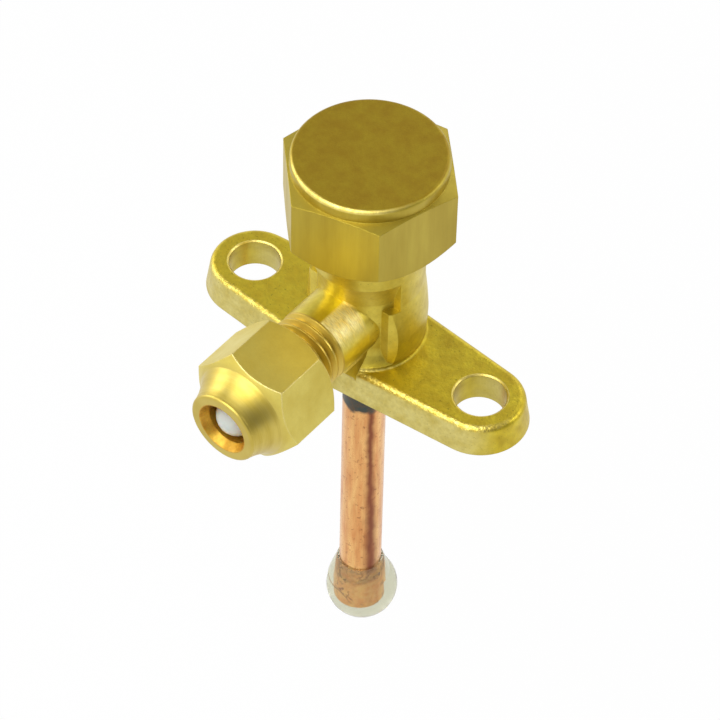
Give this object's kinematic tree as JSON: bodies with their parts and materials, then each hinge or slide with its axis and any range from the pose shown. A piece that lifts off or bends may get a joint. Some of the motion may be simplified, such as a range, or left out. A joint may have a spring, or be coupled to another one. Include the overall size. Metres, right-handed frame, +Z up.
{
  "type": "refrigerant service valve",
  "caption": "Forged brass refrigerant stop valve with fixing flange, hexagon stem cap, flare nut on the side port and a brazed copper stub tube with an end cap.",
  "frame": {"origin": "centre of the flange's underside, on the common axis of stem and tube", "axes": "+Z up the stem axis towards the cap, +X along the flange from hole to hole, side port along -Y"},
  "size_m": [0.055, 0.0443, 0.0977],
  "materials": {
    "forged_brass": "shot-blasted forging, machined where it seals",
    "cap_brass": "turned and milled, matte top",
    "nut_brass": "satin forged brass",
    "turned_brass": "turned",
    "black_rubber": "moulded",
    "spring_steel": "phosphated spring steel",
    "white_gasket": "moulded",
    "white_plastic": "pearly white, moulded",
    "copper": "drawn copper, scratched",
    "braze_alloy": "dull brazed fillet, heat-stained",
    "clear_plastic": "translucent soft plastic"
  },
  "bodies": {
    "body": {"valve_body": "forged_brass", "stem_retaining_ring": "spring_steel", "connecting_tube": "copper", "braze_ring": "braze_alloy"},
    "stem_seal": {"stem_o_ring": "black_rubber"},
    "stem": {"valve_stem": "turned_brass"},
    "cap_seal": {"cap_gasket": "white_gasket"},
    "cap": {"valve_cap": "cap_brass"},
    "port_plug": {"flare_plug": "white_plastic"},
    "nut": {"flare_nut": "nut_brass"},
    "end_cap": {"tube_end_cap": "clear_plastic"}
  },
  "joints": [
    {"name": "stem_lift", "type": "slide", "parent": "body", "child": "stem_seal", "axis": [0, 0, 1], "range_m": [0, 0.005]},
    {"name": "stem_turn", "type": "hinge", "parent": "stem_seal", "child": "stem", "pos_m": [0, 0, 0.0225], "axis": [0, 0, 1], "range_deg": [0, 1800.1]},
    {"name": "cap_lift", "type": "slide", "parent": "body", "child": "cap_seal", "axis": [0, 0, 1], "range_m": [0, 0.0075]},
    {"name": "cap_turn", "type": "hinge", "parent": "cap_seal", "child": "cap", "pos_m": [0, 0, 0.03255], "axis": [0, 0, 1], "range_deg": [0, 1800.1]},
    {"name": "nut_lift", "type": "slide", "parent": "body", "child": "port_plug", "axis": [0, -1, 0], "range_m": [0, 0.00762]},
    {"name": "nut_turn", "type": "hinge", "parent": "port_plug", "child": "nut", "pos_m": [0, -0.0245, 0.01088], "axis": [0, -1, 0], "range_deg": [0, 2160.1]},
    {"name": "end_cap_pull", "type": "slide", "parent": "body", "child": "end_cap", "axis": [0, 0, -1], "range_m": [0, 0.012]}
  ],
  "couplings": [
    {"joint": "stem_turn", "follows": "stem_lift", "rad_per_m": 6283.2},
    {"joint": "cap_turn", "follows": "cap_lift", "rad_per_m": 4188.8},
    {"joint": "nut_turn", "follows": "nut_lift", "rad_per_m": 4947.4}
  ]
}
